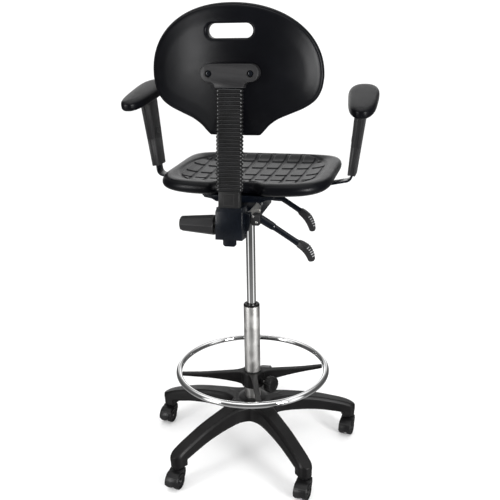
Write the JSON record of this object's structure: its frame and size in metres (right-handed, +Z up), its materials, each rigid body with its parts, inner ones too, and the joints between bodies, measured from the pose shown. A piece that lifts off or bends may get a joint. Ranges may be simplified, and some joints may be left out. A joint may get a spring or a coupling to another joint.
{
  "type": "drafting chair",
  "caption": "Tall five-star drafting chair on twin-wheel casters, with gas lift, foot ring, two levers, moulded seat, bellows-covered back bar and adjustable armrests.",
  "frame": {"origin": "on the floor, on the column's axis, under the middle of the five-star base", "axes": "+Z up; the sitter faces -Y, so the sitter's left is +X and the backrest is at +Y"},
  "size_m": [0.7222, 0.6649, 1.3562],
  "materials": {
    "black_nylon": "moulded glass-filled nylon, fine satin grain",
    "caster_black": "smooth moulded nylon, soft gloss",
    "grey_black_plastic": "moulded polypropylene, fine grain, dark grey",
    "black_polyurethane": "self-skinned polyurethane foam, soft sheen",
    "black_rubber": "moulded flexible bellows, satin",
    "black_paint": "gloss black powder coat on steel",
    "chrome": "bright chrome plate",
    "satin_chrome": "satin chrome plate on tube",
    "zinc_steel": "zinc-plated steel"
  },
  "bodies": {
    "base": {"star_base": "black_nylon", "column_tube": "satin_chrome", "guide_bushing": "black_nylon", "thrust_bearing": "zinc_steel"},
    "spindle": {"piston_rod": "zinc_steel"},
    "seat": {"gas_cylinder": "chrome", "taper_socket": "zinc_steel", "mechanism_housing": "black_paint", "seat_plate": "black_paint", "seat_pan": "black_polyurethane", "pivot_pin": "zinc_steel", "arm_bracket_left": "black_paint", "arm_bracket_right": "black_paint"},
    "valve_pin": {"valve_pin": "zinc_steel"},
    "height_lever": {"height_lever": "black_paint", "height_lever_grip": "grey_black_plastic"},
    "back_carrier": {"back_carrier": "zinc_steel", "bar_bracket": "black_paint", "bar_collar": "grey_black_plastic", "bellows": "black_rubber"},
    "tilt_lever": {"tilt_lever_hub": "grey_black_plastic", "tilt_lever": "black_paint", "tilt_lever_grip": "grey_black_plastic"},
    "bar_knob": {"bar_knob_screw": "zinc_steel", "bar_knob": "grey_black_plastic"},
    "back": {"back_bar": "black_paint", "back_plate": "grey_black_plastic", "plate_bolt_left": "black_paint", "plate_bolt_right": "black_paint", "backrest": "black_polyurethane"},
    "foot_ring": {"foot_ring": "chrome", "foot_ring_hub": "black_nylon"},
    "ring_clamp": {"ring_clamp_screw": "zinc_steel", "ring_clamp_knob": "black_nylon"},
    "arm_left": {"arm_sleeve_left": "grey_black_plastic", "arm_pad_left": "black_polyurethane"},
    "arm_button_left": {"arm_button_left": "grey_black_plastic"},
    "arm_right": {"arm_sleeve_right": "grey_black_plastic", "arm_pad_right": "black_polyurethane"},
    "arm_button_right": {"arm_button_right": "grey_black_plastic"},
    "caster_1_swivel": {"caster_1_hood": "caster_black", "caster_1_axle": "zinc_steel"},
    "caster_1_left_wheel": {"caster_1_wheel_left": "caster_black"},
    "caster_1_right_wheel": {"caster_1_wheel_right": "caster_black"},
    "caster_2_swivel": {"caster_2_hood": "caster_black", "caster_2_axle": "zinc_steel"},
    "caster_2_left_wheel": {"caster_2_wheel_left": "caster_black"},
    "caster_2_right_wheel": {"caster_2_wheel_right": "caster_black"},
    "caster_3_swivel": {"caster_3_hood": "caster_black", "caster_3_axle": "zinc_steel"},
    "caster_3_left_wheel": {"caster_3_wheel_left": "caster_black"},
    "caster_3_right_wheel": {"caster_3_wheel_right": "caster_black"},
    "caster_4_swivel": {"caster_4_hood": "caster_black", "caster_4_axle": "zinc_steel"},
    "caster_4_left_wheel": {"caster_4_wheel_left": "caster_black"},
    "caster_4_right_wheel": {"caster_4_wheel_right": "caster_black"},
    "caster_5_swivel": {"caster_5_hood": "caster_black", "caster_5_axle": "zinc_steel"},
    "caster_5_left_wheel": {"caster_5_wheel_left": "caster_black"},
    "caster_5_right_wheel": {"caster_5_wheel_right": "caster_black"}
  },
  "joints": [
    {"name": "caster_1_swivel", "type": "hinge", "parent": "base", "child": "caster_1_swivel", "pos_m": [0.31167, -0.07253, 0.06], "axis": [0, 0, 1], "continuous": true},
    {"name": "caster_1_left_roll", "type": "hinge", "parent": "caster_1_swivel", "child": "caster_1_left_wheel", "pos_m": [0.31515, -0.05283, 0.02452], "axis": [-0.9848, 0.1736, 0], "continuous": true},
    {"name": "caster_1_right_roll", "type": "hinge", "parent": "caster_1_swivel", "child": "caster_1_right_wheel", "pos_m": [0.31515, -0.05283, 0.02452], "axis": [-0.9848, 0.1736, 0], "continuous": true},
    {"name": "caster_2_swivel", "type": "hinge", "parent": "base", "child": "caster_2_swivel", "pos_m": [0.16529, 0.274, 0.06], "axis": [0, 0, 1], "continuous": true},
    {"name": "caster_2_left_roll", "type": "hinge", "parent": "caster_2_swivel", "child": "caster_2_left_wheel", "pos_m": [0.16876, 0.2937, 0.02452], "axis": [-0.9848, 0.1736, 0], "continuous": true},
    {"name": "caster_2_right_roll", "type": "hinge", "parent": "caster_2_swivel", "child": "caster_2_right_wheel", "pos_m": [0.16876, 0.2937, 0.02452], "axis": [-0.9848, 0.1736, 0], "continuous": true},
    {"name": "caster_3_swivel", "type": "hinge", "parent": "base", "child": "caster_3_swivel", "pos_m": [-0.20952, 0.24187, 0.06], "axis": [0, 0, 1], "continuous": true},
    {"name": "caster_3_left_roll", "type": "hinge", "parent": "caster_3_swivel", "child": "caster_3_left_wheel", "pos_m": [-0.20604, 0.26157, 0.02452], "axis": [-0.9848, 0.1736, 0], "continuous": true},
    {"name": "caster_3_right_roll", "type": "hinge", "parent": "caster_3_swivel", "child": "caster_3_right_wheel", "pos_m": [-0.20604, 0.26157, 0.02452], "axis": [-0.9848, 0.1736, 0], "continuous": true},
    {"name": "caster_4_swivel", "type": "hinge", "parent": "base", "child": "caster_4_swivel", "pos_m": [-0.29478, -0.12452, 0.06], "axis": [0, 0, 1], "continuous": true},
    {"name": "caster_4_left_roll", "type": "hinge", "parent": "caster_4_swivel", "child": "caster_4_left_wheel", "pos_m": [-0.29131, -0.10482, 0.02452], "axis": [-0.9848, 0.1736, 0], "continuous": true},
    {"name": "caster_4_right_roll", "type": "hinge", "parent": "caster_4_swivel", "child": "caster_4_right_wheel", "pos_m": [-0.29131, -0.10482, 0.02452], "axis": [-0.9848, 0.1736, 0], "continuous": true},
    {"name": "caster_5_swivel", "type": "hinge", "parent": "base", "child": "caster_5_swivel", "pos_m": [0.02733, -0.31883, 0.06], "axis": [0, 0, 1], "continuous": true},
    {"name": "caster_5_left_roll", "type": "hinge", "parent": "caster_5_swivel", "child": "caster_5_left_wheel", "pos_m": [0.03081, -0.29913, 0.02452], "axis": [-0.9848, 0.1736, 0], "continuous": true},
    {"name": "caster_5_right_roll", "type": "hinge", "parent": "caster_5_swivel", "child": "caster_5_right_wheel", "pos_m": [0.03081, -0.29913, 0.02452], "axis": [-0.9848, 0.1736, 0], "continuous": true},
    {"name": "seat_swivel", "type": "hinge", "parent": "base", "child": "spindle", "pos_m": [0, 0, 0.3], "axis": [0, 0, 1], "continuous": true},
    {"name": "seat_height", "type": "slide", "parent": "spindle", "child": "seat", "axis": [0, 0, 1], "range_m": [-0.25, 0]},
    {"name": "height_lever_lift", "type": "hinge", "parent": "seat", "child": "height_lever", "pos_m": [-0.045, 0, 0.8125], "axis": [0, 1, 0], "range_deg": [0, 6], "stiffness_Nm_per_rad": 4, "springref_deg": -2.86},
    {"name": "valve_pin_press", "type": "slide", "parent": "seat", "child": "valve_pin", "axis": [0, 0, 1], "range_m": [-0.0048, 0]},
    {"name": "back_tilt", "type": "hinge", "parent": "seat", "child": "back_carrier", "pos_m": [0, 0.072, 0.8], "axis": [1, 0, 0], "range_deg": [-15, 5]},
    {"name": "tilt_lever_lift", "type": "hinge", "parent": "back_carrier", "child": "tilt_lever", "pos_m": [-0.062, 0.19, 0.808], "axis": [0, 1, 0], "range_deg": [0, 12], "stiffness_Nm_per_rad": 4, "springref_deg": -5.73},
    {"name": "bar_knob_turn", "type": "hinge", "parent": "back_carrier", "child": "bar_knob", "pos_m": [0, 0.20644, 0.78904], "axis": [1, 0, 0], "range_deg": [-360, 0]},
    {"name": "back_height", "type": "slide", "parent": "back_carrier", "child": "back", "axis": [0, -0.0939, 0.9956], "range_m": [-0.03, 0.05], "deforming": ["bellows"]},
    {"name": "foot_ring_height", "type": "slide", "parent": "base", "child": "foot_ring", "axis": [0, 0, 1], "range_m": [-0.03, 0.17]},
    {"name": "ring_clamp_turn", "type": "hinge", "parent": "foot_ring", "child": "ring_clamp", "pos_m": [0, 0, 0.228], "axis": [-0.8957, 0.4446, 0], "range_deg": [-360, 0]},
    {"name": "arm_height_left", "type": "slide", "parent": "seat", "child": "arm_left", "axis": [0.1149, 0, 0.9934], "range_m": [-0.014, 0.044]},
    {"name": "arm_button_left_press", "type": "slide", "parent": "arm_left", "child": "arm_button_left", "axis": [0.9934, 0, -0.1149], "range_m": [0, 0.0025], "stiffness_N_per_m": 800, "springref_m": -0.002},
    {"name": "arm_height_right", "type": "slide", "parent": "seat", "child": "arm_right", "axis": [-0.1149, 0, 0.9934], "range_m": [-0.002, 0.056]},
    {"name": "arm_button_right_press", "type": "slide", "parent": "arm_right", "child": "arm_button_right", "axis": [-0.9934, 0, -0.1149], "range_m": [0, 0.0025], "stiffness_N_per_m": 800, "springref_m": -0.002}
  ],
  "couplings": [
    {"joint": "valve_pin_press", "follows": "height_lever_lift", "m_per_rad": -0.045}
  ]
}
